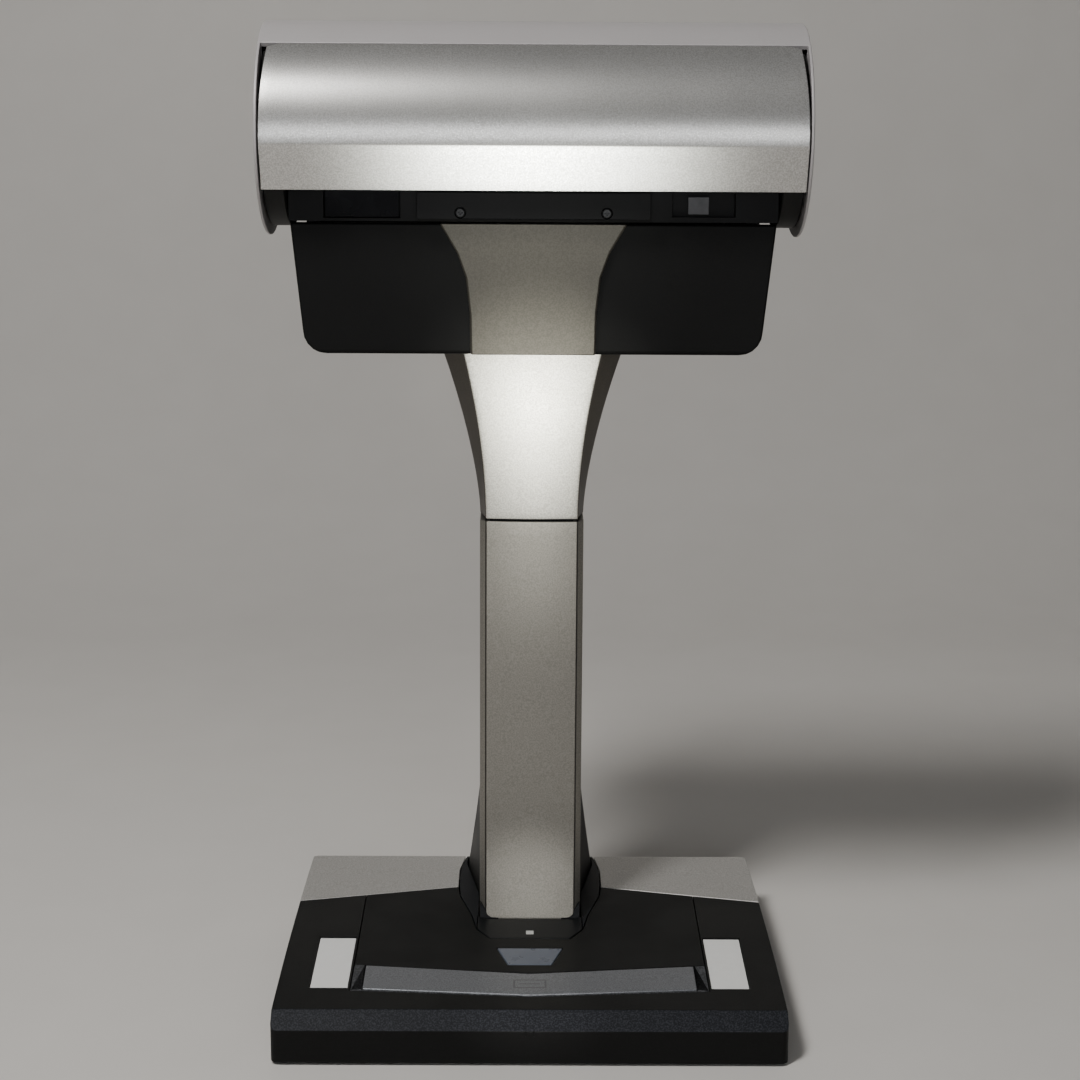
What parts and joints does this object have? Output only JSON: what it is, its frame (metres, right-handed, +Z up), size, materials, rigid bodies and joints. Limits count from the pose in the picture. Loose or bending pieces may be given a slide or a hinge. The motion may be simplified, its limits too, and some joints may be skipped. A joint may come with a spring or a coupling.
{
  "type": "book scanner",
  "caption": "Overhead book scanner: wide wedge base with push keys, slim column and a wide visor head that turns to sweep the page",
  "frame": {"origin": "on the table under the middle of the base", "axes": "+Z up, the front faces -Y, +X to the right seen from the front"},
  "size_m": [0.2036, 0.158, 0.391],
  "materials": {
    "silver_paint": "fine metallic silver paint, satin",
    "grey_shell": "fine textured light grey moulding",
    "black_plastic": "fine grained black moulding",
    "dark_grey_plastic": "dark brown-grey painted moulding",
    "scan_bar_metallic": "metallic mid-grey paint",
    "white_reference": "matte white calibration strip",
    "power_lens": "translucent blue-grey lens",
    "clear_window": "dark clear window",
    "mirror": "front-silvered glass",
    "rubber_foot": "soft black rubber",
    "steel": "plated sheet steel",
    "brass": "machined brass",
    "nylon": "natural nylon",
    "circuit_board": "green solder resist",
    "cable_jacket": "black sheathed lead"
  },
  "bodies": {
    "stand": {"base_bottom_plate": "black_plastic", "base_chassis": "steel", "base_top_cover": "black_plastic", "centre_panel": "black_plastic", "rear_trim_left": "silver_paint", "rear_trim_right": "silver_paint", "white_reference_left": "white_reference", "white_reference_right": "white_reference", "scan_button_channel": "black_plastic", "column_collar_left": "black_plastic", "column_collar_right": "black_plastic", "power_lens": "power_lens", "main_board": "circuit_board", "scan_switch": "black_plastic", "stop_switch": "black_plastic", "power_jack": "black_plastic", "data_socket": "steel", "rubber_foot_front_left": "rubber_foot", "rubber_foot_front_right": "rubber_foot", "rubber_foot_rear_left": "rubber_foot", "rubber_foot_rear_right": "rubber_foot", "base_screw_front_left": "steel", "base_screw_front_right": "steel", "base_screw_rear_left": "steel", "base_screw_rear_right": "steel", "column_core": "steel", "column_cable": "cable_jacket", "column_front_cover": "silver_paint", "column_rear_cover": "dark_grey_plastic", "neck_front_cover": "silver_paint", "neck_rear_cover": "dark_grey_plastic", "chin_front_cover": "black_plastic", "chin_rear_cover": "black_plastic", "chin_centre_plate": "silver_paint", "head_chassis": "steel", "axle_bush_left": "brass", "axle_bush_right": "brass", "motor_bracket": "steel", "drive_motor": "steel"},
    "scan_head": {"head_shell": "grey_shell", "visor_front_panel": "silver_paint", "end_cap_left": "dark_grey_plastic", "end_cap_right": "dark_grey_plastic", "head_axle_left": "steel", "head_axle_right": "steel", "optics_frame": "steel", "sector_gear": "nylon", "optics_fascia": "black_plastic", "optics_bar": "black_plastic", "bar_screw_left": "steel", "bar_screw_right": "steel", "lamp_window": "clear_window", "lamp_board": "circuit_board", "sensor_window": "clear_window", "lens_barrel": "black_plastic", "fold_mirror": "mirror", "sensor_board": "circuit_board"},
    "motor_pinion": {"motor_pinion": "brass"},
    "scan_button": {"scan_button": "scan_bar_metallic"},
    "stop_button": {"stop_button": "black_plastic"}
  },
  "joints": [
    {"name": "head_sweep", "type": "hinge", "parent": "stand", "child": "scan_head", "pos_m": [0, 0, 0.35], "axis": [-1, 0, 0], "range_deg": [0, 45]},
    {"name": "pinion_spin", "type": "hinge", "parent": "stand", "child": "motor_pinion", "pos_m": [0.0775, 0.02248, 0.33113], "axis": [-1, 0, 0], "range_deg": [-145, 3]},
    {"name": "scan_press", "type": "slide", "parent": "stand", "child": "scan_button", "axis": [0, 0, -1], "range_m": [0, 0.0012], "stiffness_N_per_m": 900, "springref_m": -0.0008},
    {"name": "stop_press", "type": "slide", "parent": "stand", "child": "stop_button", "axis": [0, 0, -1], "range_m": [0, 0.001], "stiffness_N_per_m": 900, "springref_m": -0.0008}
  ],
  "couplings": [
    {"joint": "pinion_spin", "follows": "head_sweep", "ratio": -3.1429}
  ]
}
